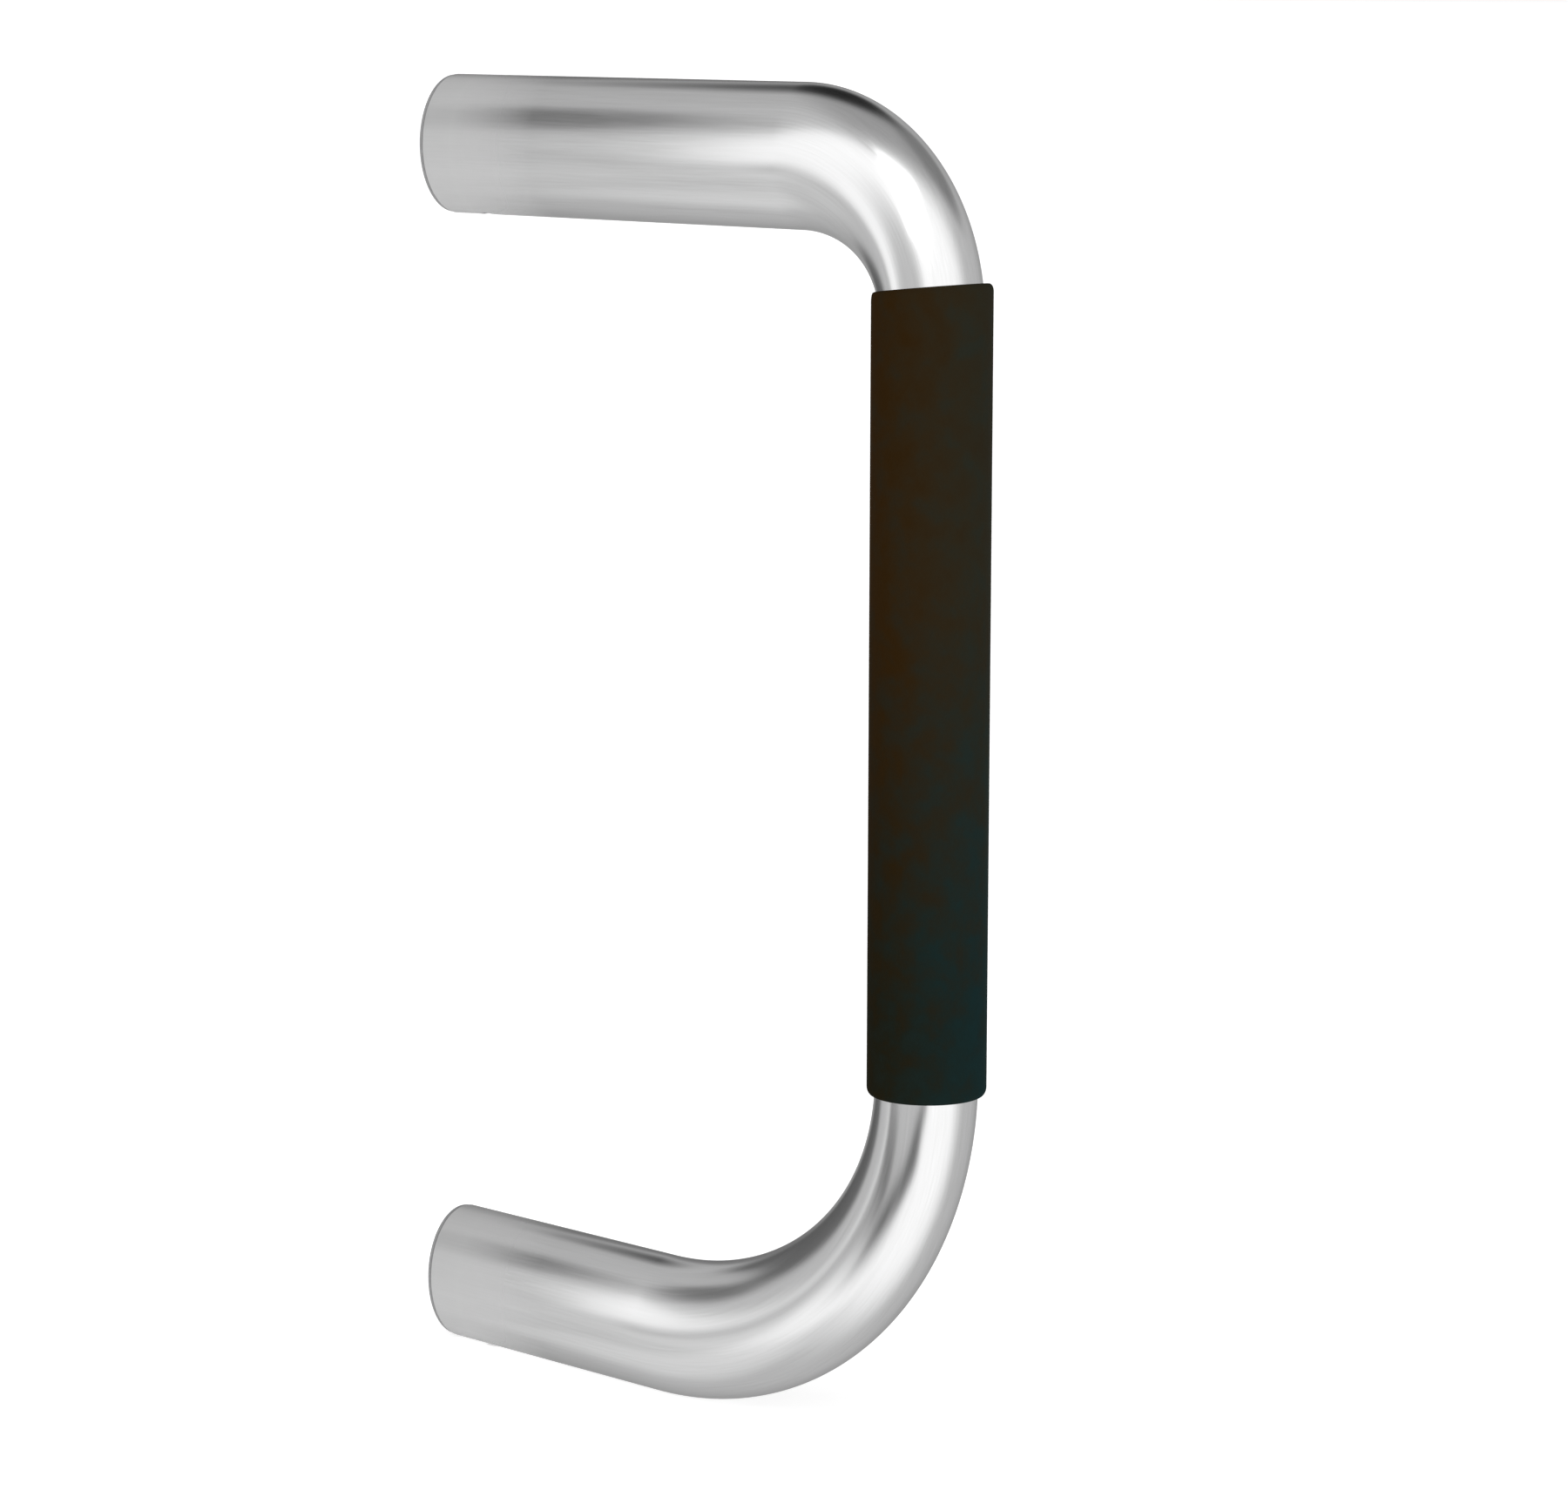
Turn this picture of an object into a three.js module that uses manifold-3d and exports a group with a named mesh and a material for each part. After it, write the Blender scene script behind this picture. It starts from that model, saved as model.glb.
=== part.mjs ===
// Assist grab handle: a bent stainless tube with a rubber grip on its upright bar, held to a wall, door or
// panel by the plain ends of its two legs. Millimetres, +Z up. The wall is the plane X = 0, the legs run
// along +X, and the origin lies on the wall midway between the legs.
//
// The tube is round at the bar and grows to an oval, taller than it is wide, along each bend. Each leg
// slips over an oval spigot that a bolt from behind the panel holds through its threaded bush. A grub screw
// in the underside of the leg locks the tube to the spigot, a seal ring stops rattle and water, and a thin
// gasket lies between the tube's end and the wall.
import * as THREE from "three";
import { mergeVertices } from "three/addons/utils/BufferGeometryUtils.js";
import Module from "manifold-3d";

// Handle tube
const BAR_DIAMETER = 25.4; // round section of the bar, and width of the legs
const LEG_DEPTH = 36; // height of the legs' oval section
const TUBE_WALL = 1.6;
const REACH = 169; // wall to the axis of the bar
const LEG_CENTRES = 302; // between the axes of the two legs
const UPPER_BEND = { reach: 42, rise: 38 }; // a quarter ellipse: along the leg, and along the bar
const LOWER_BEND = { reach: 90, rise: 79 };

// Grip sleeve
const GRIP_DIAMETER = 29.4;
const GRIP_TOP = 120.8; // heights of its ends above the middle of the legs
const GRIP_BOTTOM = -76.2;
const GRIP_TOP_LEAN = THREE.MathUtils.degToRad(6.5); // its top end follows the start of the upper bend
const GRIP_EDGE = { inset: 1.2, length: 2 }; // rounding of its outer edges, across and along the grip
const GRIP_EDGE_THINNING = 0.73; // less rounding on the wall side of the top, where the bore comes near

// Leg end fittings
const GAP = 0.3; // clearance between neighbouring pieces
const GASKET_THICKNESS = 1;
const GASKET_INSET = 0.2; // of its outer edge from the outside of the leg
const SPIGOT_LENGTH = 34;
const BUSH = { diameter: 12, bore: 6.8, collar: 15, collarLength: 2, length: 24 };
const SCREW = { diameter: 5, length: 9, coneLength: 1.5, tip: 2, socket: 2.5, socketDepth: 3, fromWall: 14 };
const SEAL = { section: 1.5, fromWall: 25, grooveWidth: 2.4, grooveDepth: 1.9 };
const TUBE_END = GASKET_THICKNESS + GAP; // the tube's end stands off the wall by the gasket

const SIDES = 32; // round the tube and the grip
const BEND_STEPS = 12;
const SMALL_SIDES = 16; // round bores and screws
const SEAL_SIDES = 6;
const PAST = 1; // how far a cutter reaches past what it cuts

const wasm = await Module();
wasm.setup();

// A mesh geometry as a solid, for joining and cutting.
function solid(geometry) {
  const bare = geometry.clone();
  bare.deleteAttribute("normal");
  bare.deleteAttribute("uv");
  const merged = mergeVertices(bare, 1e-4);
  const shape = { numProp: 3, vertProperties: merged.attributes.position.array };
  return new wasm.Manifold(new wasm.Mesh({ ...shape, triVerts: new Uint32Array(merged.index.array) }));
}

function geometryOf(manifold) {
  const { vertProperties, triVerts } = manifold.getMesh();
  const geometry = new THREE.BufferGeometry();
  geometry.setAttribute("position", new THREE.BufferAttribute(vertProperties, 3));
  geometry.setIndex(new THREE.BufferAttribute(triVerts, 1));
  return geometry;
}

// What is left of one geometry when the others are cut away.
function cut(geometry, ...tools) {
  return geometryOf(tools.reduce((rest, tool) => rest.subtract(solid(tool)), solid(geometry)));
}

// A closed skin over rings of points. All rings have the same number of points, turning the same way. A
// looped skin joins its last ring to its first; any other is closed by a flat fan at each end.
function loft(rings, looped = false) {
  const count = rings[0].length;
  const points = rings.flat();
  const faces = [];
  const spans = looped ? rings.length : rings.length - 1;
  for (let r = 0; r < spans; r++) {
    const here = r * count;
    const there = ((r + 1) % rings.length) * count;
    for (let k = 0; k < count; k++) {
      const next = (k + 1) % count;
      faces.push(here + k, here + next, there + k, here + next, there + next, there + k);
    }
  }
  if (!looped) {
    const last = (rings.length - 1) * count;
    for (let k = 1; k < count - 1; k++) {
      faces.push(0, k + 1, k, last, last + k, last + k + 1);
    }
  }
  return new THREE.BufferGeometry().setFromPoints(points).setIndex(faces);
}

// Points of the centre line of the tube from the upper leg's end to the lower leg's, each with the
// direction the tube runs in as an angle from +X towards +Z. The ends are moved out along the legs by
// `extra`, for a cutter that has to pass right through.
function centreLine(extra = 0) {
  const half = LEG_CENTRES / 2;
  const line = [{ x: TUBE_END - extra, z: half, angle: 0 }];
  const bend = ({ reach, rise }, side) => {
    const stations = [];
    for (let i = 0; i <= BEND_STEPS; i++) {
      const turn = (i / BEND_STEPS) * (Math.PI / 2);
      stations.push({
        x: REACH - reach + reach * Math.sin(turn),
        z: side * (half - rise + rise * Math.cos(turn)),
        angle: -side * Math.atan2(rise * Math.sin(turn), reach * Math.cos(turn)),
      });
    }
    return stations;
  };
  line.push(...bend(UPPER_BEND, 1));
  for (const { x, z, angle } of bend(LOWER_BEND, -1).reverse()) {
    line.push({ x, z, angle: -Math.PI + angle });
  }
  line.push({ x: TUBE_END - extra, z: -half, angle: -Math.PI });
  return line;
}

// A ring of the tube at one station. `shrink` is how far it lies inside the outer surface. The section
// keeps its width, and its depth follows its direction: the bar's radius where it faces the wall and half
// the leg's depth where it faces up.
function tubeRing({ x, z, angle }, shrink) {
  const width = BAR_DIAMETER / 2 - shrink;
  const depth = Math.hypot(width * Math.sin(angle), (LEG_DEPTH / 2 - shrink) * Math.cos(angle));
  const ring = [];
  for (let k = 0; k < SIDES; k++) {
    const a = (k / SIDES) * 2 * Math.PI;
    const across = depth * Math.sin(a);
    ring.push(new THREE.Vector3(
      x - across * Math.sin(angle),
      width * Math.cos(a),
      z + across * Math.cos(angle),
    ));
  }
  return ring;
}

function tubeSolid(shrink, extra = 0) {
  return loft(centreLine(extra).map((station) => tubeRing(station, shrink)));
}

// An upright round cylinder, or one lying along X, with its middle at the given point.
function cylinder(diameter, length, centre, alongX = false, sides = SMALL_SIDES) {
  const geometry = new THREE.CylinderGeometry(diameter / 2, diameter / 2, length, sides);
  geometry.rotateX(Math.PI / 2);
  if (alongX) geometry.rotateY(Math.PI / 2);
  return geometry.translate(centre.x, centre.y, centre.z);
}

// An oval prism along X, as wide as a leg and as deep, less `shrink` all round.
function ovalPrism(shrink, from, to, z) {
  const outline = new THREE.Shape();
  outline.absellipse(0, 0, LEG_DEPTH / 2 - shrink, BAR_DIAMETER / 2 - shrink, 0, 2 * Math.PI);
  const options = { depth: to - from, bevelEnabled: false, curveSegments: SIDES / 2 };
  const geometry = new THREE.ExtrudeGeometry(outline, options);
  return geometry.rotateY(Math.PI / 2).translate(from, 0, z);
}

// Hole for a grub screw, up through the underside of a leg at height z.
function screwHole(z) {
  const centre = new THREE.Vector3(SCREW.fromWall, 0, z - LEG_DEPTH / 2);
  return cylinder(SCREW.diameter + 2 * GAP, 2 * (SCREW.length + 2 * GAP), centre);
}

function handleTube() {
  const screwHoles = [1, -1].map((side) => screwHole((side * LEG_CENTRES) / 2));
  return cut(tubeSolid(0), tubeSolid(TUBE_WALL, PAST), ...screwHoles);
}

// The rings of one rounded end of the grip, from the end inwards.
function gripEnd(end, side, lean, thinning) {
  return [0, 1, 2, 3].map((step) => {
    const turn = (step / 3) * (Math.PI / 2);
    const inset = GRIP_EDGE.inset * (1 - Math.sin(turn));
    const z = end + side * GRIP_EDGE.length * (1 - Math.cos(turn));
    const ring = [];
    for (let k = 0; k < SIDES; k++) {
      const a = (k / SIDES) * 2 * Math.PI;
      const radius = GRIP_DIAMETER / 2 - inset * (1 - thinning * Math.max(0, -Math.cos(a)));
      const out = radius * Math.cos(a);
      ring.push(new THREE.Vector3(REACH + out, radius * Math.sin(a), z + out * Math.tan(lean)));
    }
    return ring;
  });
}

// The grip is straight outside, with rounded edges, and its bore follows the tube into the bends.
function gripSleeve() {
  const bottom = gripEnd(GRIP_BOTTOM, 1, 0, 0);
  const top = gripEnd(GRIP_TOP, -1, GRIP_TOP_LEAN, GRIP_EDGE_THINNING);
  return cut(loft([...bottom, ...top.reverse()]), tubeSolid(-GAP));
}

function wallGasket(z) {
  const opening = ovalPrism(TUBE_WALL, -PAST, GASKET_THICKNESS + PAST, z);
  return cut(ovalPrism(GASKET_INSET, 0, GASKET_THICKNESS, z), opening);
}

function mountingSpigot(z) {
  const inset = TUBE_WALL + GAP;
  const body = ovalPrism(inset, 0, SPIGOT_LENGTH, z);
  const bore = cylinder(BUSH.diameter + 2 * GAP, 2 * BUSH.length, new THREE.Vector3(BUSH.length, 0, z), true);
  const collarLength = SPIGOT_LENGTH - BUSH.length + BUSH.collarLength + GAP;
  const collar = cylinder(
    BUSH.collar + 2 * GAP, 2 * collarLength, new THREE.Vector3(SPIGOT_LENGTH, 0, z), true);
  const from = SEAL.fromWall - SEAL.grooveWidth / 2;
  const to = SEAL.fromWall + SEAL.grooveWidth / 2;
  const core = ovalPrism(inset + SEAL.grooveDepth, from - PAST, to + PAST, z);
  const groove = cut(ovalPrism(0, from, to, z), core);
  return cut(body, bore, collar, screwHole(z), groove);
}

// A bush with a collar behind the spigot's shoulder, so that the bolt draws the spigot to the wall.
function threadedBush(z) {
  const { diameter, bore, collar, collarLength, length } = BUSH;
  const profile = [
    [bore / 2, GAP], [diameter / 2, GAP], [diameter / 2, length - collarLength],
    [collar / 2, length - collarLength], [collar / 2, length], [bore / 2, length], [bore / 2, GAP],
  ].map(([radius, along]) => new THREE.Vector2(radius, along));
  const geometry = new THREE.LatheGeometry(profile, SMALL_SIDES * 2);
  return geometry.rotateZ(-Math.PI / 2).translate(0, 0, z);
}

// A grub screw with a hexagon socket below and a cone point above.
function grubScrew(z) {
  const radius = SCREW.diameter / 2;
  const bottom = z - LEG_DEPTH / 2 + GAP;
  const profile = [
    [0, 0], [radius, 0], [radius, SCREW.length - SCREW.coneLength], [SCREW.tip / 2, SCREW.length],
    [0, SCREW.length],
  ].map(([r, h]) => new THREE.Vector2(r, h));
  const body = new THREE.LatheGeometry(profile, SMALL_SIDES).rotateX(Math.PI / 2);
  body.translate(SCREW.fromWall, 0, bottom);
  const across = SCREW.socket / Math.cos(Math.PI / 6); // the socket's width over its corners
  const mouth = new THREE.Vector3(SCREW.fromWall, 0, bottom);
  return cut(body, cylinder(across, 2 * SCREW.socketDepth, mouth, false, 6));
}

// The ring of round section that lies in the spigot's groove.
function sealRing(z) {
  const inset = TUBE_WALL + GAP + SEAL.grooveDepth - GAP - SEAL.section / 2;
  const rings = [];
  for (let i = 0; i < SIDES; i++) {
    const around = (i / SIDES) * 2 * Math.PI;
    const out = new THREE.Vector3(
      0,
      (BAR_DIAMETER / 2 - inset) * Math.cos(around),
      (LEG_DEPTH / 2 - inset) * Math.sin(around),
    );
    const normal = out.clone().multiply(new THREE.Vector3(0, LEG_DEPTH ** 2, BAR_DIAMETER ** 2)).normalize();
    const ring = [];
    for (let k = 0; k < SEAL_SIDES; k++) {
      const a = (k / SEAL_SIDES) * 2 * Math.PI;
      const point = out.clone().addScaledVector(normal, (SEAL.section / 2) * Math.cos(a));
      point.x = SEAL.fromWall - (SEAL.section / 2) * Math.sin(a);
      point.z += z;
      ring.push(point);
    }
    rings.push(ring);
  }
  return loft(rings, true);
}

const MATERIALS = {
  satinSteel: { color: 0xb9babb, roughness: 0.32, metalness: 1 },
  blackRubber: { color: 0x22211c, roughness: 0.85, metalness: 0 },
  greyGasket: { color: 0x84868a, roughness: 0.7, metalness: 0 },
  castAluminium: { color: 0xa9abae, roughness: 0.5, metalness: 1 },
  zincSteel: { color: 0xc2c4c6, roughness: 0.35, metalness: 1 },
  blackSteel: { color: 0x303236, roughness: 0.45, metalness: 1 },
  sealRubber: { color: 0x17181a, roughness: 0.8, metalness: 0 },
};

const handle = new THREE.Group();

function add(name, geometry, finish) {
  const mesh = new THREE.Mesh(geometry, new THREE.MeshStandardMaterial(MATERIALS[finish]));
  mesh.name = name;
  handle.add(mesh);
}

add("handle_tube", handleTube(), "satinSteel");
add("grip_sleeve", gripSleeve(), "blackRubber");
for (const [leg, side] of [["upper", 1], ["lower", -1]]) {
  const z = (side * LEG_CENTRES) / 2;
  add(`${leg}_wall_gasket`, wallGasket(z), "greyGasket");
  add(`${leg}_mounting_spigot`, mountingSpigot(z), "castAluminium");
  add(`${leg}_threaded_bush`, threadedBush(z), "zincSteel");
  add(`${leg}_grub_screw`, grubScrew(z), "blackSteel");
  add(`${leg}_seal_ring`, sealRing(z), "sealRubber");
}

export default handle;
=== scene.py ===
import math

import bpy
import numpy as np
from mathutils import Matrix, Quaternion, Vector


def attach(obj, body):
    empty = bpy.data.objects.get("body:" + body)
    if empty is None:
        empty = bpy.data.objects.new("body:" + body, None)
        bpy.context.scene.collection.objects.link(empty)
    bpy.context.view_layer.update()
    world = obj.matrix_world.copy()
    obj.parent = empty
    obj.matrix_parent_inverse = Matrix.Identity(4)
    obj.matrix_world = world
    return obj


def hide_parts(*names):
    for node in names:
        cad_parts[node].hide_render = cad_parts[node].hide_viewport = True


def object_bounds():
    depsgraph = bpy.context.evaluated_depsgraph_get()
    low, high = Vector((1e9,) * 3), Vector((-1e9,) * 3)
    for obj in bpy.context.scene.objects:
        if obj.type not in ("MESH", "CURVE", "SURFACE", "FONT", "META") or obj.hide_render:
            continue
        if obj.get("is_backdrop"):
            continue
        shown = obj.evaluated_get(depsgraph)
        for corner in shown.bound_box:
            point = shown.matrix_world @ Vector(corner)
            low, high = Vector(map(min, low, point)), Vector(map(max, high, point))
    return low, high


# Assist grab handle. Metres, +Z up, the wall at X = 0 and the legs along +X. The sizes are the CAD part's.

MM = 0.001

# Handle tube
BAR_RADIUS = 12.7 * MM
LEG_HALF_DEPTH = 18 * MM
TUBE_WALL = 1.6 * MM
REACH = 169 * MM
LEG_HEIGHT = 151 * MM  # of the legs' axes, above and below the origin
UPPER_BEND = (42 * MM, 38 * MM)  # along the leg, along the bar
LOWER_BEND = (90 * MM, 79 * MM)
TUBE_END = 1.3 * MM
LIP = 0.35 * MM  # rounding of the tube's ends

# Grip sleeve
GRIP_RADIUS = 14.7 * MM
GRIP_TOP = 120.8 * MM
GRIP_BOTTOM = -76.2 * MM
GRIP_TOP_LEAN = math.radians(6.5)
LEAN_FROM = 0.8  # share of the grip's height above which its rings begin to lean
GRIP_EDGE = (1.2 * MM, 2 * MM)  # rounding across and along the grip
GRIP_EDGE_THINNING = 0.73  # less rounding on the wall side of the top, where the bore comes near
GAP = 0.3 * MM

# Leg end fittings
GASKET_THICKNESS = 1 * MM
GASKET_INSET = 0.2 * MM
SPIGOT_INSET = TUBE_WALL + GAP
SPIGOT_LENGTH = 34 * MM
BUSH_RADIUS = 6 * MM
BUSH_BORE = 3.4 * MM
BUSH_COLLAR = 7.5 * MM
BUSH_COLLAR_LENGTH = 2 * MM
BUSH_LENGTH = 24 * MM
BUSH_PITCH = 1.25 * MM
BUSH_THREAD = 0.6 * MM  # depth of its thread
SCREW_RADIUS = 2.5 * MM
SCREW_PITCH = 0.8 * MM
SCREW_THREAD = 0.3 * MM
SCREW_LENGTH = 9 * MM
SCREW_CONE = 1.5 * MM
SCREW_TIP = 1 * MM  # radius
SCREW_FROM_WALL = 14 * MM
SOCKET_ACROSS_FLATS = 2.5 * MM
SOCKET_DEPTH = 3 * MM
SEAL_RADIUS = 0.75 * MM
SEAL_FROM_WALL = 25 * MM
GROOVE_WIDTH = 2.4 * MM
GROOVE_DEPTH = 1.9 * MM

# Finish
STEEL_EDGE = 0.6  # how much the steel reflects where it is seen edge on
DULL_UP_TO = 12 * MM  # from the wall: the steel is blasted dull as far as here
BRUSHED_FROM = 42 * MM  # and only brushed from here on
PAINTED_LIGHT_ACROSS = (0.72, 0.69, 0)  # the direction in which the painted light on the grip's black turns from brown to blue-green
PAINTED_SHADE_DOWN = (50 * MM, -60 * MM)  # the heights between which the grip's painted light above turns to its painted shade below

# Camera
CAMERA_AZIMUTH = math.radians(46)  # from +X towards -Y
CAMERA_ELEVATION = math.radians(8.59)
CAMERA_DISTANCE = 1.270
CAMERA_TARGET = Vector((0.12014, 0, 0.00494))
CAMERA_ROLL = math.radians(0.18)
CAMERA_LENS = 117.04
SENSOR_WIDTH = 36

# Fineness of the meshes
SIDES = 128
BEND_STEPS = 96
FITTING_SIDES = 96
SMALL_SIDES = 48
SEAL_SIDES = 16
GRIP_STEPS = 60
BORE_STEPS = 24
EDGE_RINGS = 9
THREAD_RINGS = 6  # to each turn of the bush's thread
SCREW_STEPS = 36

LEGS = (("upper", LEG_HEIGHT), ("lower", -LEG_HEIGHT))


# ---------------------------------------------------------------- mesh helpers


def add_mesh(name, points, faces, sharp_angle=30):
    """A smooth mesh object whose edges stay crisp where its faces meet at more than the sharp angle."""
    mesh = bpy.data.meshes.new(name)
    mesh.from_pydata([tuple(p) for p in points], [], faces)
    mesh.update()
    shade(mesh, sharp_angle)
    obj = bpy.data.objects.new(name, mesh)
    bpy.context.scene.collection.objects.link(obj)
    return obj


def shade(mesh, sharp_angle):
    mesh.shade_smooth()
    mesh.set_sharp_from_angle(angle=math.radians(sharp_angle))


def skin(rings, looped=False):
    """Points and quads over rings of the same number of points, each ring closed."""
    count = len(rings[0])
    points = [p for ring in rings for p in ring]
    faces = []
    spans = len(rings) if looped else len(rings) - 1
    for r in range(spans):
        here = r * count
        there = (r + 1) % len(rings) * count
        for k in range(count):
            n = (k + 1) % count
            faces.append((here + k, here + n, there + n, there + k))
    return points, faces


def end_caps(count, sides):
    """The faces that close the first and the last ring of a shape with `count` points."""
    return [tuple(reversed(range(sides))), tuple(range(count - sides, count))]


def oval(x, z, half_width, half_depth, sides):
    """An oval ring across X."""
    ring = []
    for k in range(sides):
        a = 2 * math.pi * k / sides
        ring.append(Vector((x, half_width * math.cos(a), z + half_depth * math.sin(a))))
    return ring


def round_ring(x, z, radius, sides):
    return oval(x, z, radius, radius, sides)


def upright_ring(height, radius, sides):
    """A ring of a grub screw or its hole. The radius is a length, or a function of the angle."""
    ring = []
    for k in range(sides):
        a = 2 * math.pi * k / sides
        r = radius(a) if callable(radius) else radius
        ring.append(Vector((SCREW_FROM_WALL + r * math.cos(a), r * math.sin(a), height)))
    return ring


def oval_lathe(profile, z, sides):
    """Rings for a closed oval shape along X. The profile lists (x, inset from the leg's outline)."""
    return [oval(x, z, BAR_RADIUS - inset, LEG_HALF_DEPTH - inset, sides) for x, inset in profile]


# ---------------------------------------------------------------- handle tube


def bend_stations(bend, side):
    """Stations down a quarter ellipse, from the leg to the bar."""
    reach, rise = bend
    stations = []
    for i in range(BEND_STEPS + 1):
        turn = math.pi / 2 * i / BEND_STEPS
        x = REACH - reach + reach * math.sin(turn)
        z = side * (LEG_HEIGHT - rise + rise * math.cos(turn))
        angle = -side * math.atan2(rise * math.sin(turn), reach * math.cos(turn))
        stations.append((x, z, angle))
    return stations


def centre_line():
    """Stations (x, z, direction) from the upper leg's end to the lower leg's."""
    lower = [(x, z, angle - math.pi) for x, z, angle in reversed(bend_stations(LOWER_BEND, -1))]
    bends = bend_stations(UPPER_BEND, 1) + lower
    return [(TUBE_END, LEG_HEIGHT, 0.0)] + bends + [(TUBE_END, -LEG_HEIGHT, -math.pi)]


def tube_ring(station, shrink, forward=0.0):
    """A ring of the tube, `shrink` inside its outer surface and moved along the tube by `forward`."""
    x, z, angle = station
    width = BAR_RADIUS - shrink
    depth = math.hypot(width * math.sin(angle), (LEG_HALF_DEPTH - shrink) * math.cos(angle))
    along = Vector((math.cos(angle), 0, math.sin(angle)))
    ring = []
    for k in range(SIDES):
        a = 2 * math.pi * k / SIDES
        across = depth * math.sin(a)
        point = Vector((x - across * math.sin(angle), width * math.cos(a), z + across * math.cos(angle)))
        ring.append(point + along * forward)
    return ring


def tube_rings():
    """Rings out along the outer skin, round the lower lip, back along the bore and round the upper lip."""
    line = centre_line()
    first, last = line[0], line[-1]
    turns = (0, math.pi / 6, math.pi / 3, math.pi / 2)
    lip = [(LIP * (1 - math.sin(t)), LIP * (1 - math.cos(t))) for t in turns]
    outer = [tube_ring(first, inset, forward) for inset, forward in lip]
    outer += [tube_ring(station, 0) for station in line[1:-1]]
    outer += [tube_ring(last, inset, -forward) for inset, forward in reversed(lip)]
    inner = [tube_ring(last, TUBE_WALL - inset, -forward) for inset, forward in lip]
    inner += [tube_ring(station, TUBE_WALL) for station in reversed(line[1:-1])]
    inner += [tube_ring(first, TUBE_WALL - inset, forward) for inset, forward in reversed(lip)]
    return outer + inner


def drill(obj, z, sharp_angle):
    """Cuts the hole for a grub screw up through the underside of the leg at height z."""
    radius = SCREW_RADIUS + GAP
    underside = z - LEG_HALF_DEPTH
    below = 2 * MM
    above = 6 * MM
    rings = [upright_ring(height, radius, SMALL_SIDES) for height in (underside - below, underside + above)]
    points, faces = skin(rings)
    tool = add_mesh("drill", points, faces + end_caps(len(points), SMALL_SIDES))
    modifier = obj.modifiers.new("hole", "BOOLEAN")
    modifier.operation = "DIFFERENCE"
    modifier.solver = "EXACT"
    modifier.object = tool
    evaluated = obj.evaluated_get(bpy.context.evaluated_depsgraph_get())
    mesh = bpy.data.meshes.new_from_object(evaluated)
    obj.modifiers.clear()
    obj.data = mesh
    bpy.data.objects.remove(tool)
    shade(obj.data, sharp_angle)


def fine_centre_line():
    """Stations (x, z, direction) about every millimetre along the tube, as an array."""
    line = centre_line()
    fine = []
    for (x0, z0, a0), (x1, z1, a1) in zip(line, line[1:]):
        steps = max(1, int(math.hypot(x1 - x0, z1 - z0) / MM))
        for i in range(steps):
            t = i / steps
            fine.append((x0 + (x1 - x0) * t, z0 + (z1 - z0) * t, a0 + (a1 - a0) * t))
    return np.array(fine)


def straighten(obj):
    """Stores where each vertex would be on a straight tube, so that the grain follows the bends."""
    fine = fine_centre_line()
    lengths = np.concatenate([[0], np.cumsum(np.hypot(np.diff(fine[:, 0]), np.diff(fine[:, 1])))])
    points = np.array([v.co for v in obj.data.vertices])
    stored = np.zeros_like(points)
    batch = 2000  # vertices at a time, to spare memory
    for start in range(0, len(points), batch):
        p = points[start : start + batch]
        away = (p[:, None, 0] - fine[None, :, 0]) ** 2 + (p[:, None, 2] - fine[None, :, 1]) ** 2
        near = away.argmin(1)
        angle = fine[near, 2]
        across = -(p[:, 0] - fine[near, 0]) * np.sin(angle) + (p[:, 2] - fine[near, 1]) * np.cos(angle)
        stored[start : start + batch] = np.stack([p[:, 1], across, lengths[near]], 1)
    attribute = obj.data.attributes.new("straight", "FLOAT_VECTOR", "POINT")
    attribute.data.foreach_set("vector", stored.astype(np.float32).ravel())


def handle_tube(material):
    points, faces = skin(tube_rings(), looped=True)
    tube = add_mesh("tube", points, faces)
    for _, z in LEGS:
        drill(tube, z, sharp_angle=35)
    straighten(tube)
    place(tube, material, "handle_tube")


# ---------------------------------------------------------------- grip sleeve


def station_at(z):
    """Where the centre line is at a height inside the grip, and its direction there."""
    line = centre_line()
    for (x0, z0, a0), (x1, z1, a1) in zip(line, line[1:]):
        if z1 <= z <= z0 and z1 < z0:
            t = (z0 - z) / (z0 - z1)
            return x0 + (x1 - x0) * t, a0 + (a1 - a0) * t
    raise ValueError("the height is outside the tube")


def grip_ring(inset, z, lean, thinning=0.0):
    """A ring of the grip's outside, `inset` from its radius. Thinning lessens that on the wall side."""
    ring = []
    for k in range(SIDES):
        a = 2 * math.pi * k / SIDES
        radius = GRIP_RADIUS - inset * (1 - thinning * max(0, -math.cos(a)))
        out = radius * math.cos(a)
        ring.append(Vector((REACH + out, radius * math.sin(a), z + out * math.tan(lean))))
    return ring


def bore_ring(z, lean):
    """A ring of the grip's bore, which clears the tube by the gap all round."""
    radius = BAR_RADIUS + GAP
    ring = []
    for k in range(SIDES):
        a = 2 * math.pi * k / SIDES
        height = z + radius * math.cos(a) * math.tan(lean)
        x, angle = station_at(height)
        depth = math.hypot(radius * math.sin(angle), (LEG_HALF_DEPTH + GAP) * math.cos(angle))
        ring.append(Vector((x + depth / abs(math.sin(angle)) * math.cos(a), radius * math.sin(a), height)))
    return ring


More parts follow.
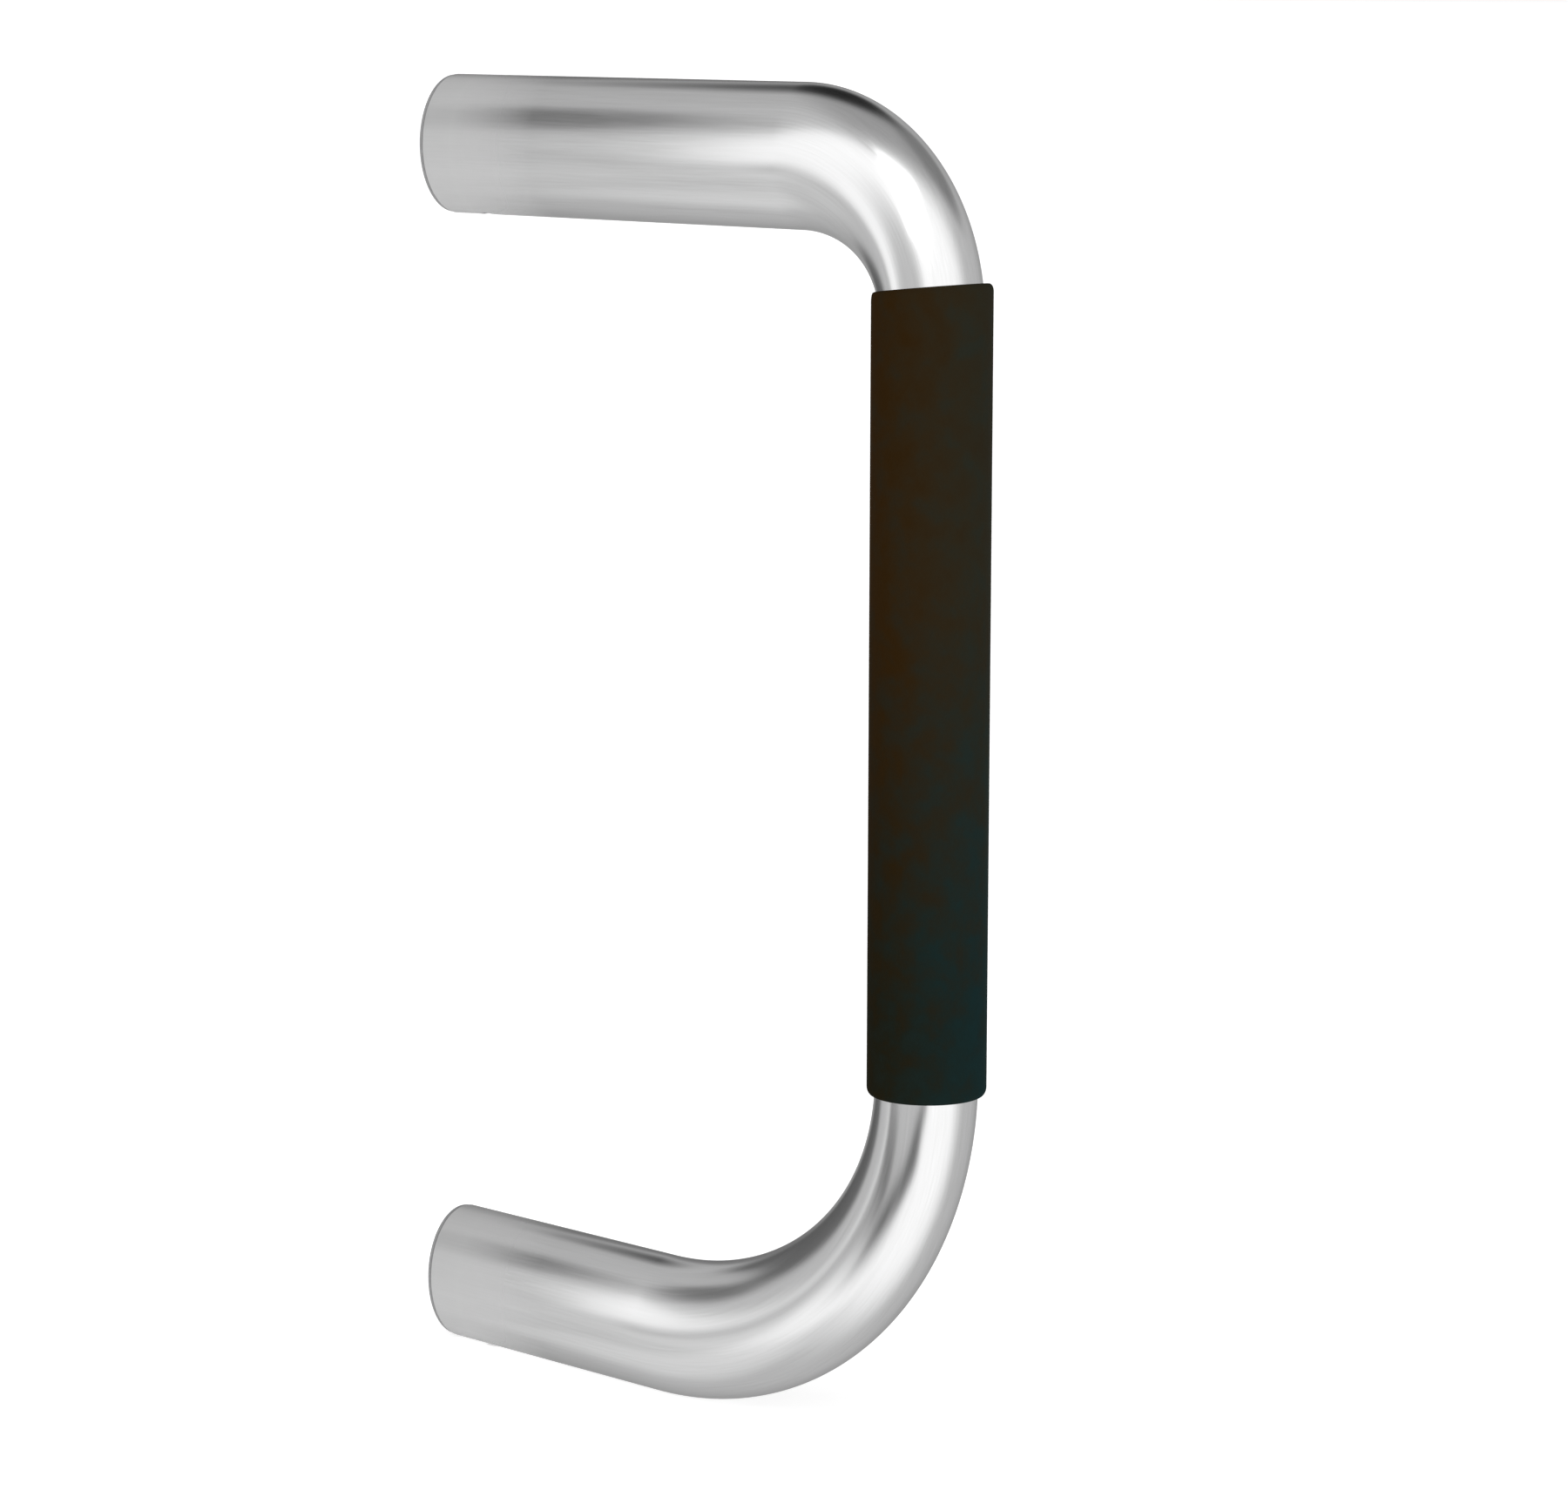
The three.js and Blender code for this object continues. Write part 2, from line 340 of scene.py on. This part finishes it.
def grip_rings():
    """Rings up the outside of the grip, over its rounded top, down its bore and round its bottom."""
    inset, length = GRIP_EDGE
    turns = np.linspace(0, math.pi / 2, EDGE_RINGS)
    edge = [(inset * (1 - math.sin(t)), length * (1 - math.cos(t))) for t in turns]
    outer = [grip_ring(away, GRIP_BOTTOM + rise, 0) for away, rise in edge]
    low = GRIP_BOTTOM + length
    high = GRIP_TOP - length
    for i in range(1, GRIP_STEPS):
        t = i / GRIP_STEPS
        outer.append(grip_ring(0, low + (high - low) * t, GRIP_TOP_LEAN * lean_share(t)))
    for away, rise in reversed(edge):
        outer.append(grip_ring(away, GRIP_TOP - rise, GRIP_TOP_LEAN, GRIP_EDGE_THINNING))
    inner = []
    for i in range(BORE_STEPS + 1):
        t = 1 - i / BORE_STEPS
        inner.append(bore_ring(GRIP_BOTTOM + (GRIP_TOP - GRIP_BOTTOM) * t, GRIP_TOP_LEAN * lean_share(t)))
    return outer + inner


def lean_share(t):
    """How much of the top end's lean the grip has at a share of its height."""
    return max(0, (t - LEAN_FROM) / (1 - LEAN_FROM))


def grip_sleeve(material):
    points, faces = skin(grip_rings(), looped=True)
    grip = add_mesh("grip", points, faces, sharp_angle=40)
    place(grip, material, "grip_sleeve")


# ---------------------------------------------------------------- leg end fittings


def wall_gasket(leg, z, material):
    """A flat oval ring between the tube's end and the wall, with its edges taken off."""
    edge = 0.2 * MM
    full = GASKET_THICKNESS
    outer = [(edge, GASKET_INSET), (full - edge, GASKET_INSET), (full, GASKET_INSET + edge)]
    inner = [(full, TUBE_WALL - edge), (full - edge, TUBE_WALL), (edge, TUBE_WALL), (0, TUBE_WALL - edge)]
    profile = outer + inner + [(0, GASKET_INSET + edge)]
    points, faces = skin(oval_lathe(profile, z, FITTING_SIDES), looped=True)
    gasket = add_mesh(f"{leg}_gasket", points, faces, sharp_angle=60)
    place(gasket, material, f"{leg}_wall_gasket")


def mounting_spigot(leg, z, material):
    """An oval plug with a groove for the seal and a stepped bore for the bush."""
    edge = 0.4 * MM
    groove = (SEAL_FROM_WALL - GROOVE_WIDTH / 2, SEAL_FROM_WALL + GROOVE_WIDTH / 2)
    deep = SPIGOT_INSET + GROOVE_DEPTH
    profile = [(0, SPIGOT_INSET + edge), (edge, SPIGOT_INSET), (groove[0], SPIGOT_INSET), (groove[0], deep)]
    profile += [(groove[1], deep), (groove[1], SPIGOT_INSET), (SPIGOT_LENGTH - 2 * edge, SPIGOT_INSET)]
    profile += [(SPIGOT_LENGTH, SPIGOT_INSET + 2 * edge)]
    rings = oval_lathe(profile, z, FITTING_SIDES)
    step = BUSH_LENGTH - BUSH_COLLAR_LENGTH - GAP
    for x, radius in (
        (SPIGOT_LENGTH, BUSH_COLLAR + GAP),
        (step, BUSH_COLLAR + GAP),
        (step, BUSH_RADIUS + GAP),
        (edge, BUSH_RADIUS + GAP),
        (0, BUSH_RADIUS + GAP + edge),
    ):
        rings.append(round_ring(x, z, radius, FITTING_SIDES))
    points, faces = skin(rings, looped=True)
    spigot = add_mesh(f"{leg}_spigot", points, faces)
    drill(spigot, z, sharp_angle=30)
    place(spigot, material, f"{leg}_mounting_spigot")


def thread_rings(z, x_from, x_to):
    """Rings along the bush's thread, whose surface goes outwards from the bore by the thread's depth."""
    count = round((x_to - x_from) / BUSH_PITCH * THREAD_RINGS)
    rings = []
    for i in range(count + 1):
        x = x_from + (x_to - x_from) * i / count
        fade = min(1.0, (x - x_from) / BUSH_PITCH, (x_to - x) / BUSH_PITCH)
        ring = []
        for k in range(SMALL_SIDES):
            a = 2 * math.pi * k / SMALL_SIDES
            radius = BUSH_BORE + BUSH_THREAD * fade * ridge(x / BUSH_PITCH - k / SMALL_SIDES)
            ring.append(Vector((x, radius * math.cos(a), z + radius * math.sin(a))))
        rings.append(ring)
    return rings


def ridge(turns):
    """Height of a V thread, from 0 to 1 and back to 0 in each turn."""
    return 1 - abs(2 * (turns % 1) - 1)


def threaded_bush(leg, z, material):
    """A collared bush, with a thread in its bore that fades out at both ends."""
    edge = 0.3 * MM
    mouth = BUSH_BORE + BUSH_THREAD
    collar = BUSH_LENGTH - BUSH_COLLAR_LENGTH
    rings = []
    for x, radius in (
        (GAP, BUSH_RADIUS - edge),
        (GAP + edge, BUSH_RADIUS),
        (collar, BUSH_RADIUS),
        (collar, BUSH_COLLAR - edge),
        (collar + edge, BUSH_COLLAR),
        (BUSH_LENGTH - edge, BUSH_COLLAR),
        (BUSH_LENGTH, BUSH_COLLAR - edge),
        (BUSH_LENGTH, mouth),
    ):
        rings.append(round_ring(x, z, radius, SMALL_SIDES))
    rings += reversed(thread_rings(z, GAP + BUSH_THREAD, BUSH_LENGTH - BUSH_THREAD))
    rings.append(round_ring(GAP, z, mouth, SMALL_SIDES))
    points, faces = skin(rings, looped=True)
    bush = add_mesh(f"{leg}_bush", points, faces, sharp_angle=50)
    place(bush, material, f"{leg}_threaded_bush")


def hexagon_radius(a):
    """Radius of the socket's hexagon at an angle."""
    sector = math.pi / 3
    return SOCKET_ACROSS_FLATS / 2 / math.cos((a + sector / 2) % sector - sector / 2)


def screw_profile():
    """(height, radius) from the socket's bottom to the tip. Some radii are functions of the angle."""
    edge = 0.35 * MM
    centre = 0.02 * MM
    socket_dome = 0.5 * MM
    socket_chamfer = 0.25 * MM
    mouth = hexagon_radius(math.pi / 6) + 0.15 * MM
    profile = [(SOCKET_DEPTH + socket_dome, centre), (SOCKET_DEPTH, hexagon_radius)]
    profile += [(socket_chamfer, hexagon_radius), (0, mouth), (0, SCREW_RADIUS - edge)]
    thread = SCREW_LENGTH - SCREW_CONE - edge
    for i in range(SCREW_STEPS + 1):
        height = edge + thread * i / SCREW_STEPS
        profile.append((height, thread_radius(height)))
    return profile + [(SCREW_LENGTH, SCREW_TIP), (SCREW_LENGTH, centre)]


def thread_radius(height):
    """The grub screw's radius at a height, as a function of the angle."""
    return lambda a: SCREW_RADIUS - SCREW_THREAD * ridge(height / SCREW_PITCH - a / (2 * math.pi))


def grub_screw(leg, z, material):
    """A grub screw with a chamfered hexagon socket below and a cone point above."""
    bottom = z - LEG_HALF_DEPTH + GAP
    rings = [upright_ring(bottom + height, radius, FITTING_SIDES) for height, radius in screw_profile()]
    points, faces = skin(rings)
    faces += end_caps(len(points), FITTING_SIDES)
    screw = add_mesh(f"{leg}_screw", points, faces, sharp_angle=40)
    place(screw, material, f"{leg}_grub_screw")


def seal_ring(leg, z, material):
    """A round cord laid in the spigot's groove."""
    inset = SPIGOT_INSET + GROOVE_DEPTH - GAP - SEAL_RADIUS
    rings = []
    for i in range(FITTING_SIDES):
        a = 2 * math.pi * i / FITTING_SIDES
        middle = Vector((0, (BAR_RADIUS - inset) * math.cos(a), (LEG_HALF_DEPTH - inset) * math.sin(a)))
        outward = Vector((0, middle.y / BAR_RADIUS**2, middle.z / LEG_HALF_DEPTH**2)).normalized()
        ring = []
        for k in range(SEAL_SIDES):
            turn = 2 * math.pi * k / SEAL_SIDES
            point = middle + outward * (SEAL_RADIUS * math.cos(turn))
            ring.append(point + Vector((SEAL_FROM_WALL - SEAL_RADIUS * math.sin(turn), 0, z)))
        rings.append(ring)
    points, faces = skin(rings, looped=True)
    seal = add_mesh(f"{leg}_seal", points, faces, sharp_angle=180)
    place(seal, material, f"{leg}_seal_ring")


def place(obj, material, node):
    """Gives a piece its material and puts it in the place of a CAD node."""
    obj.data.materials.clear()
    obj.data.materials.append(material)
    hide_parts(node)
    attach(obj, "root")


# ---------------------------------------------------------------- materials


class Nodes:
    """A material under construction, with short ways to add and join nodes."""

    def __init__(self, name):
        self.material = bpy.data.materials.new(name)
        self.material.use_nodes = True
        self.tree = self.material.node_tree
        self.shader = self.tree.nodes["Principled BSDF"]

    def add(self, kind, **inputs):
        node = self.tree.nodes.new(kind)
        for key, value in inputs.items():
            self.feed(node.inputs[key.replace("_", " ")], value)
        return node

    def feed(self, socket, value):
        if isinstance(value, bpy.types.NodeSocket):
            self.tree.links.new(value, socket)
        else:
            socket.default_value = value

    def noise(self, vector, scale, detail=4.0, roughness=0.55):
        node = self.add("ShaderNodeTexNoise", Vector=vector, Scale=scale)
        self.feed(node.inputs["Detail"], detail)
        self.feed(node.inputs["Roughness"], roughness)
        return node.outputs["Fac"]

    def stretched(self, vector, factors):
        node = self.tree.nodes.new("ShaderNodeVectorMath")
        node.operation = "MULTIPLY"
        self.feed(node.inputs[0], vector)
        node.inputs[1].default_value = factors
        return node.outputs[0]

    def along(self, vector, direction):
        """How far a point is along a direction from the origin."""
        node = self.tree.nodes.new("ShaderNodeVectorMath")
        node.operation = "DOT_PRODUCT"
        self.feed(node.inputs[0], vector)
        node.inputs[1].default_value = direction
        return node.outputs["Value"]

    def math(self, operation, a, b=0.0, clamp=False):
        node = self.tree.nodes.new("ShaderNodeMath")
        node.operation = operation
        node.use_clamp = clamp
        self.feed(node.inputs[0], a)
        self.feed(node.inputs[1], b)
        return node.outputs[0]

    def remap(self, value, low, high, to_low, to_high):
        node = self.tree.nodes.new("ShaderNodeMapRange")
        for index, given in enumerate((value, low, high, to_low, to_high)):
            self.feed(node.inputs[index], given)
        return node.outputs[0]

    def spread(self, noise, low, high):
        """Runs from low to high over the values that a noise mostly has."""
        return self.remap(noise, 0.3, 0.7, low, high)

    def mix(self, factor, a, b):
        node = self.tree.nodes.new("ShaderNodeMix")
        node.data_type = "RGBA"
        self.feed(node.inputs[0], factor)
        self.feed(node.inputs[6], a)
        self.feed(node.inputs[7], b)
        return node.outputs[2]

    def bump(self, height, distance, strength=1.0):
        node = self.add("ShaderNodeBump", Height=height, Distance=distance, Strength=strength)
        self.feed(self.shader.inputs["Normal"], node.outputs[0])

    def position(self):
        return self.tree.nodes.new("ShaderNodeTexCoord").outputs["Object"]

    def finish(self, **inputs):
        for key, value in inputs.items():
            self.feed(self.shader.inputs[key.replace("_", " ")], value)
        return self.material


def grey(level, tint=(1, 1, 1)):
    """A grey of a linear level, as the colour sockets take it."""
    return tuple(level * t for t in tint) + (1.0,)


def satin_steel():
    """Brushed along the tube, with long faint bands and soft smudges, and blasted dull near the wall."""
    n = Nodes("satin_steel")
    stored = n.tree.nodes.new("ShaderNodeAttribute")
    stored.attribute_name = "straight"
    straight = stored.outputs["Vector"]
    lines = n.noise(n.stretched(straight, (1, 1, 0.02)), 2600, detail=3)
    bands = n.noise(n.stretched(straight, (1, 1, 0.06)), 320, detail=2)
    smudges = n.noise(n.stretched(straight, (1, 1, 0.5)), 45, detail=3)
    grain = n.math("ADD", n.math("MULTIPLY", lines, 0.6), n.math("MULTIPLY", bands, 0.4))
    from_wall = n.along(n.position(), (1, 0, 0))
    rough = n.math("ADD", n.spread(grain, 0.175, 0.215), n.remap(smudges, 0.35, 0.7, -0.012, 0.018))
    rough = n.math("ADD", rough, n.remap(from_wall, 10 * MM, 85 * MM, 0.035, 0))
    n.bump(lines, 0.003 * MM, 0.35)
    # near the wall a plain grey takes the place of most of the metal's reflections
    metal = n.remap(from_wall, DULL_UP_TO, BRUSHED_FROM, 0.35, 1)
    brushed = n.mix(n.remap(grain, 0.35, 0.65, 0, 1), grey(0.66), grey(0.71, (1, 1, 1.005)))
    colour = n.mix(metal, grey(0.42), brushed)
    return n.finish(Base_Color=colour, Roughness=rough, Metallic=metal, Specular_Tint=grey(STEEL_EDGE))


def grip_rubber():
    """Matt black foam rubber with a fine grain. Painted light tints its black: a cast from brown to
    blue-green across the grip, and painted shade that darkens its brown side low down.
    """
    n = Nodes("grip_rubber")
    where = n.position()
    grain = n.noise(where, 2200, detail=5, roughness=0.6)
    mottle = n.noise(where, 160, detail=3)
    drift = n.spread(mottle, -0.2, 0.2)
    # painted light: a brown cast on one side of the grip turning blue-green on the other, and painted shade
    # lower down
    middle = REACH * PAINTED_LIGHT_ACROSS[0]
    across = n.remap(n.along(where, PAINTED_LIGHT_ACROSS), middle - GRIP_RADIUS, middle + GRIP_RADIUS, 0, 1)
    across = n.math("ADD", across, drift, clamp=True)
    down = n.math("ADD", n.remap(n.along(where, (0, 0, 1)), *PAINTED_SHADE_DOWN, 0, 1), drift, clamp=True)
    above = n.mix(across, (0.0195, 0.0088, 0.0012, 1), (0.0172, 0.0160, 0.0095, 1))
    below = n.mix(across, (0.0080, 0.0070, 0.0026, 1), (0.0056, 0.0168, 0.0170, 1))
    n.bump(grain, 0.03 * MM, 0.6)
    rough = n.spread(grain, 0.82, 0.94)
    return n.finish(Base_Color=n.mix(down, above, below), Roughness=rough, Specular_IOR_Level=0.03)


def gasket_grey():
    n = Nodes("gasket")
    where = n.position()
    fine = n.noise(where, 1800)
    colour = n.mix(n.spread(fine, 0, 1), grey(0.22), grey(0.27, (1, 1, 1.02)))
    n.bump(fine, 0.02 * MM, 0.5)
    return n.finish(Base_Color=colour, Roughness=n.spread(fine, 0.62, 0.78))


def turned_aluminium():
    """Lathe lines round the X axis of each spigot, over slightly uneven metal."""
    n = Nodes("spigot_aluminium")
    where = n.position()
    lines = n.noise(n.stretched(where, (1, 0.02, 0.02)), 3000, detail=2)
    cloud = n.noise(where, 220)
    colour = n.mix(n.spread(cloud, 0, 1), grey(0.56, (1, 1, 1.02)), grey(0.66, (1, 1, 1.02)))
    roughness = n.math("ADD", n.spread(lines, 0.34, 0.48), n.spread(cloud, -0.03, 0.05))
    n.bump(lines, 0.01 * MM, 0.6)
    return n.finish(Base_Color=colour, Roughness=roughness, Metallic=1.0)


def zinc_steel():
    n = Nodes("bush_steel")
    where = n.position()
    cloud = n.noise(where, 600)
    spots = n.noise(where, 2600)
    colour = n.mix(n.spread(cloud, 0, 1), (0.60, 0.62, 0.66, 1), (0.72, 0.72, 0.70, 1))
    n.bump(spots, 0.006 * MM, 0.5)
    return n.finish(Base_Color=colour, Roughness=n.spread(spots, 0.24, 0.40), Metallic=1.0)


def black_steel():
    n = Nodes("screw_steel")
    where = n.position()
    cloud = n.noise(where, 900)
    spots = n.noise(where, 3200)
    colour = n.mix(n.spread(cloud, 0, 1), (0.022, 0.023, 0.027, 1), (0.045, 0.042, 0.040, 1))
    n.bump(spots, 0.01 * MM, 0.5)
    return n.finish(Base_Color=colour, Roughness=n.spread(spots, 0.34, 0.52), Metallic=0.7)


def seal_rubber():
    n = Nodes("seal_rubber")
    where = n.position()
    fine = n.noise(where, 2000)
    colour = n.mix(n.spread(fine, 0, 1), grey(0.008), grey(0.016))
    n.bump(fine, 0.01 * MM, 0.5)
    return n.finish(Base_Color=colour, Roughness=n.spread(fine, 0.55, 0.7))


# ---------------------------------------------------------------- floor, light and camera


def floor(z):
    """A white ground under the handle, lit from within so that only a faint contact shadow shows."""
    size = 60
    mesh = bpy.data.meshes.new("floor")
    white = (1, 1, 1, 1)
    corners = [(-size, -size, z), (size, -size, z), (size, size, z), (-size, size, z)]
    mesh.from_pydata(corners, [], [(0, 1, 2, 3)])
    obj = bpy.data.objects.new("floor", mesh)
    bpy.context.scene.collection.objects.link(obj)
    material = bpy.data.materials.new("floor")
    material.use_nodes = True
    shader = material.node_tree.nodes["Principled BSDF"]
    shader.inputs["Base Color"].default_value = grey(0.86)
    shader.inputs["Roughness"].default_value = 0.9
    shader.inputs["Emission Color"].default_value = white
    shader.inputs["Emission Strength"].default_value = 0.58
    mesh.materials.append(material)
    obj.visible_glossy = False
    obj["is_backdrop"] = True


def area_light(name, aim, towards, distance, width, height, power):
    """A lamp at a distance from the point it is aimed at, in the direction `towards`."""
    light = bpy.data.lights.new(name, "AREA")
    light.shape = "RECTANGLE"
    light.size = width
    light.size_y = height
    light.energy = power
    obj = bpy.data.objects.new(name, light)
    bpy.context.scene.collection.objects.link(obj)
    direction = Vector(towards).normalized()
    obj.location = aim + direction * distance
    obj.rotation_mode = "QUATERNION"
    obj.rotation_quaternion = direction.to_track_quat("Z", "Y")


class Sky:
    """Soft light from all round. Its azimuths are in degrees to the right of the camera's."""

    def __init__(self, level):
        self.world = bpy.data.worlds.new("studio")
        bpy.context.scene.world = self.world
        self.world.use_nodes = True
        self.tree = self.world.node_tree
        self.direction = self.tree.nodes.new("ShaderNodeTexCoord").outputs["Generated"]
        self.level = level

    def along(self, towards):
        """The cosine between the direction looked in and a given one."""
        dot = self.tree.nodes.new("ShaderNodeVectorMath")
        dot.operation = "DOT_PRODUCT"
        self.tree.links.new(self.direction, dot.inputs[0])
        dot.inputs[1].default_value = towards
        return dot.outputs["Value"]

    def maths(self, operation, a, b=None):
        node = self.tree.nodes.new("ShaderNodeMath")
        node.operation = operation
        self.tree.links.new(a, node.inputs[0])
        if b is not None:
            self.tree.links.new(b, node.inputs[1])
        return node.outputs[0]

    def smooth(self, value, low, high):
        """0 at the low value, 1 at the high one, smooth between."""
        ramp = self.tree.nodes.new("ShaderNodeMapRange")
        ramp.interpolation_type = "SMOOTHERSTEP"
        self.tree.links.new(value, ramp.inputs["Value"])
        ramp.inputs["From Min"].default_value = low
        ramp.inputs["From Max"].default_value = high
        return ramp.outputs["Result"]

    def patch(self, azimuth, elevation, inner, outer):
        """1 within `inner` degrees of a direction, falling smoothly to 0 at `outer` degrees."""
        nearness = self.along(sky_direction(azimuth, elevation))
        return self.smooth(nearness, math.cos(math.radians(outer)), math.cos(math.radians(inner)))

    def streak(self, azimuth, elevation, tilt, half_length, half_width):
        """A soft band through a direction, tilted from the level by `tilt` degrees."""
        towards = sky_direction(azimuth, elevation)
        level = Vector((-towards.y, towards.x, 0)).normalized()
        upright = towards.cross(level)
        t = math.radians(tilt)
        across = self.along(upright * math.cos(t) - level * math.sin(t))
        band = self.smooth(self.maths("ABSOLUTE", across), math.sin(math.radians(half_width)), 0)
        return self.maths("MULTIPLY", band, self.patch(azimuth, elevation, half_length / 2, half_length))

    def blend(self, level, share):
        """Moves the brightness towards a level where the share is 1."""
        mix = self.tree.nodes.new("ShaderNodeMix")
        self.tree.links.new(share, mix.inputs[0])
        if isinstance(self.level, float):
            mix.inputs[2].default_value = self.level
        else:
            self.tree.links.new(self.level, mix.inputs[2])
        mix.inputs[3].default_value = level
        self.level = mix.outputs[0]

    def finish(self):
        """The camera itself sees plain white behind the floor."""
        soft = self.tree.nodes["Background"]
        self.tree.links.new(self.level, soft.inputs["Strength"])
        soft.inputs["Color"].default_value = (1, 1, 1, 1)
        white = self.tree.nodes.new("ShaderNodeBackground")
        white.inputs["Color"].default_value = (1, 1, 1, 1)
        path = self.tree.nodes.new("ShaderNodeLightPath")
        mix = self.tree.nodes.new("ShaderNodeMixShader")
        self.tree.links.new(path.outputs["Is Camera Ray"], mix.inputs[0])
        self.tree.links.new(soft.outputs[0], mix.inputs[1])
        self.tree.links.new(white.outputs[0], mix.inputs[2])
        self.tree.links.new(mix.outputs[0], self.tree.nodes["World Output"].inputs["Surface"])


def sky_direction(azimuth, elevation):
    """The direction of a place in the sky, in world axes."""
    a = math.radians(azimuth) - CAMERA_AZIMUTH
    e = math.radians(elevation)
    return Vector((math.cos(a) * math.cos(e), math.sin(a) * math.cos(e), math.sin(e)))


def studio(aim):
    """A light tent: brightness, then where, then how wide. Later ones lie over earlier ones."""
    sky = Sky(0.68)
    # overhead, and the darker back of the room
    sky.blend(0.44, sky.patch(0, 90, 8, 53))
    sky.blend(0.28, sky.patch(122, 46, 12, 31))
    sky.blend(0.34, sky.patch(-172, 8, 8, 18))
    sky.blend(0.02, sky.patch(-175, 53, 9, 29))
    sky.blend(0.18, sky.patch(-136, 5, 16, 28))
    # two lighter spots on the left
    sky.blend(0.62, sky.patch(-124, 33, 9, 20))
    sky.blend(0.93, sky.patch(-96, -35, 5, 27))
    # a broad soft light in front, and one that carries it on to the left
    sky.blend(1.42, sky.patch(4, -6, 42, 90))
    sky.blend(1.45, sky.patch(-45, -1, 45, 50))
    # a shade where the two meet
    sky.blend(0.72, sky.patch(-45, -7, 15, 40))
    # dark flags, seen as lines that follow the bends
    sky.blend(0.08, sky.streak(-15, -21, 30, 24, 9))
    sky.blend(0.08, sky.streak(-38, -30, 0, 32, 8))
    sky.blend(0.10, sky.streak(-76, -16, -26, 17, 9))
    sky.blend(0.20, sky.patch(-107, 20, 4, 13))
    # a fainter line on the left, below them
    sky.blend(0.74, sky.streak(-104, -26, 12, 21, 9))
    sky.finish()
    area_light("key", aim, towards=(0.5, -0.9, 1.0), distance=1.6, width=1.0, height=1.0, power=4)


def camera():
    data = bpy.data.cameras.new("camera")
    data.sensor_width = SENSOR_WIDTH
    data.lens = CAMERA_LENS
    data.clip_start = 0.05
    data.clip_end = 200
    obj = bpy.data.objects.new("camera", data)
    bpy.context.scene.collection.objects.link(obj)
    flat = math.cos(CAMERA_ELEVATION)
    back = Vector((
        math.cos(CAMERA_AZIMUTH) * flat,
        -math.sin(CAMERA_AZIMUTH) * flat,
        math.sin(CAMERA_ELEVATION),
    ))
    obj.location = CAMERA_TARGET + back * CAMERA_DISTANCE
    obj.rotation_mode = "QUATERNION"
    obj.rotation_quaternion = back.to_track_quat("Z", "Y") @ Quaternion((0, 0, 1), CAMERA_ROLL)
    bpy.context.scene.camera = obj


# ---------------------------------------------------------------- the scene


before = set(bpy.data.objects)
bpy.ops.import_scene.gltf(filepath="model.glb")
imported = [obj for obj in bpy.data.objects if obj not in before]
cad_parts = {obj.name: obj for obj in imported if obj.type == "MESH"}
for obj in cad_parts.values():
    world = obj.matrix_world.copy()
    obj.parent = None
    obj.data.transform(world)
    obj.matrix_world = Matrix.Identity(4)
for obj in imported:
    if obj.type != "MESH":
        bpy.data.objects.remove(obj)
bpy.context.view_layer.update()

handle_tube(satin_steel())
grip_sleeve(grip_rubber())
fittings = (
    (wall_gasket, gasket_grey()),
    (mounting_spigot, turned_aluminium()),
    (threaded_bush, zinc_steel()),
    (grub_screw, black_steel()),
    (seal_ring, seal_rubber()),
)
for leg_name, leg_z in LEGS:
    for make, finish in fittings:
        make(leg_name, leg_z, finish)

floor(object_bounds()[0].z)
studio(aim=Vector((0.1, 0, 0)))
camera()
bpy.context.scene.view_settings.view_transform = "Standard"
